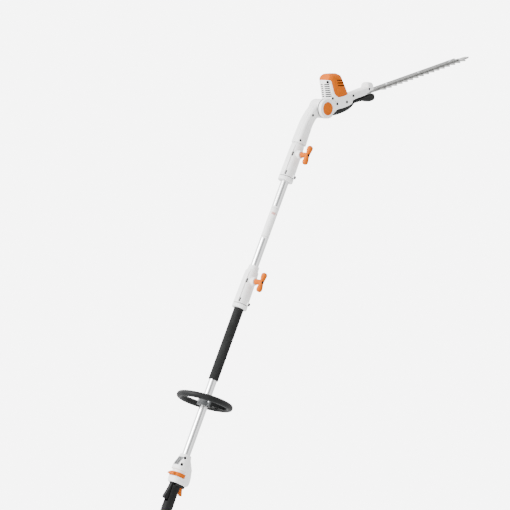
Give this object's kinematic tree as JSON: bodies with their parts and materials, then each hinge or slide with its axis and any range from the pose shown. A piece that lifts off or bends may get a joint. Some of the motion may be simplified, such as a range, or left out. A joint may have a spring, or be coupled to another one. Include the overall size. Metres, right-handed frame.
{
  "type": "pole hedge trimmer",
  "caption": "Battery pole hedge trimmer: a clamped sectional shaft with a ring handle, a battery handle with trigger, and a tilting motor head with a long double-sided blade.",
  "frame": {"origin": "on the shaft's axis, level with the middle of the rear grip", "axes": "+Z along the shaft towards the cutter head, +X to the trigger side, +Y to the left of a user who looks along the shaft"},
  "size_m": [0.6666, 0.1788, 1.9596],
  "materials": {
    "white_housing": "moulded white plastic, fine satin texture",
    "orange_plastic": "moulded orange plastic, satin",
    "black_plastic": "black moulded plastic, fine spark texture",
    "grey_plastic": "dark grey moulded plastic",
    "soft_grip": "soft-touch overmould, matt",
    "foam_grip": "closed-cell foam sleeve, matt",
    "tube_aluminium": "drawn aluminium tube, brushed",
    "cast_aluminium": "cast and milled aluminium",
    "zinc_steel": "zinc-plated steel",
    "blade_steel": "ground blade steel",
    "circuit_board": "green circuit board"
  },
  "bodies": {
    "rear_section": {"control_housing_right": "white_housing", "control_housing_left": "white_housing", "housing_screw_upper": "zinc_steel", "housing_screw_lower": "zinc_steel", "vent_grille": "grey_plastic", "grip_shell_right": "soft_grip", "grip_shell_left": "soft_grip", "trigger_bezel": "black_plastic", "trigger_pin": "zinc_steel", "trigger_spring": "zinc_steel", "power_switch": "black_plastic", "control_board": "circuit_board", "battery_bay": "white_housing", "battery_terminals": "black_plastic", "rear_tube": "tube_aluminium", "foam_sleeve": "foam_grip", "lower_coupling_body": "white_housing", "lower_coupling_collar": "white_housing", "lower_clamp_shoe": "zinc_steel", "rear_socket": "black_plastic", "rear_cable": "black_plastic"},
    "ring_grip": {"ring_handle": "black_plastic", "ring_clamp_cap": "grey_plastic", "ring_screw_right": "zinc_steel", "ring_screw_left": "zinc_steel"},
    "trigger_lever": {"trigger": "orange_plastic"},
    "lockout": {"lockout_lever": "black_plastic"},
    "unlock_slide": {"release_slide": "orange_plastic"},
    "battery": {"battery_pack": "grey_plastic"},
    "latch": {"battery_latch": "orange_plastic"},
    "lower_knob": {"lower_wing_knob": "orange_plastic"},
    "mid_section": {"mid_tube": "tube_aluminium", "upper_coupling_body": "white_housing", "upper_coupling_collar": "white_housing", "upper_clamp_shoe": "zinc_steel", "mid_plug": "black_plastic", "mid_cable": "black_plastic"},
    "upper_knob": {"upper_wing_knob": "orange_plastic"},
    "head_section": {"head_tube": "tube_aluminium", "neck_shell_right": "white_housing", "neck_shell_left": "white_housing", "detent_disc": "zinc_steel"},
    "cutter_head": {"motor_housing_right": "white_housing", "motor_housing_left": "white_housing", "motor_hood": "orange_plastic", "belly_cover": "black_plastic", "blade_guard": "black_plastic", "bar_cap": "white_housing", "pivot_pin": "zinc_steel", "motor_can": "zinc_steel", "gear_plate": "cast_aluminium", "guide_bar": "blade_steel", "blade_bolt_1": "zinc_steel", "blade_bolt_2": "zinc_steel", "blade_bolt_3": "zinc_steel"},
    "tilt_button": {"pivot_button": "orange_plastic"},
    "rotor": {"motor_rotor": "zinc_steel"},
    "crank": {"crank_gear": "zinc_steel"},
    "blade_upper": {"upper_blade": "blade_steel"},
    "blade_lower": {"lower_blade": "blade_steel"}
  },
  "joints": [
    {"name": "battery_slide", "type": "slide", "parent": "rear_section", "child": "battery", "axis": [0, 0, -1], "range_m": [0, 0.085]},
    {"name": "battery_latch_press", "type": "hinge", "parent": "rear_section", "child": "latch", "pos_m": [-0.037, 0, -0.126], "axis": [0, 1, 0], "range_deg": [0, 6], "stiffness_Nm_per_rad": 3},
    {"name": "trigger_pull", "type": "hinge", "parent": "rear_section", "child": "trigger_lever", "pos_m": [0.02, 0, 0.07], "axis": [0, 1, 0], "range_deg": [0, 14], "stiffness_Nm_per_rad": 1.2},
    {"name": "lockout_press", "type": "hinge", "parent": "rear_section", "child": "lockout", "pos_m": [-0.014, 0, 0.0685], "axis": [0, -1, 0], "range_deg": [0, 9], "stiffness_Nm_per_rad": 1.2},
    {"name": "unlock_push", "type": "slide", "parent": "rear_section", "child": "unlock_slide", "axis": [0, 0, 1], "range_m": [0, 0.008], "stiffness_N_per_m": 400},
    {"name": "ring_grip_shift", "type": "slide", "parent": "rear_section", "child": "ring_grip", "axis": [0, 0, 1], "range_m": [-0.12, 0.04]},
    {"name": "lower_knob_turn", "type": "hinge", "parent": "rear_section", "child": "lower_knob", "pos_m": [0, -0.058, 0.737], "axis": [0, -1, 0], "continuous": true},
    {"name": "mid_section_pull", "type": "slide", "parent": "rear_section", "child": "mid_section", "axis": [0, 0, 1], "range_m": [0, 0.09]},
    {"name": "upper_knob_turn", "type": "hinge", "parent": "mid_section", "child": "upper_knob", "pos_m": [0, -0.058, 1.168], "axis": [0, -1, 0], "continuous": true},
    {"name": "head_section_pull", "type": "slide", "parent": "mid_section", "child": "head_section", "axis": [0, 0, 1], "range_m": [0, 0.09]},
    {"name": "head_tilt", "type": "hinge", "parent": "head_section", "child": "cutter_head", "pos_m": [0.034, 0, 1.344], "axis": [0, 1, 0], "range_deg": [-95, 40]},
    {"name": "tilt_button_push", "type": "slide", "parent": "cutter_head", "child": "tilt_button", "axis": [0, 1, 0], "range_m": [0, 0.005], "stiffness_N_per_m": 900},
    {"name": "crank_turn", "type": "hinge", "parent": "cutter_head", "child": "crank", "pos_m": [0.10601, 0, 1.40442], "axis": [-0.6428, 0, 0.766], "continuous": true},
    {"name": "rotor_turn", "type": "hinge", "parent": "cutter_head", "child": "rotor", "pos_m": [0.08532, 0, 1.38707], "axis": [-0.6428, 0, 0.766], "continuous": true},
    {"name": "upper_blade_stroke", "type": "slide", "parent": "cutter_head", "child": "blade_upper", "axis": [0.766, 0, 0.6428], "range_m": [-0.0085, 0.0085]},
    {"name": "lower_blade_stroke", "type": "slide", "parent": "cutter_head", "child": "blade_lower", "axis": [0.766, 0, 0.6428], "range_m": [-0.0085, 0.0085]}
  ],
  "couplings": [
    {"joint": "rotor_turn", "follows": "crank_turn", "ratio": -3.75},
    {"joint": "lower_blade_stroke", "follows": "upper_blade_stroke", "ratio": -1}
  ]
}
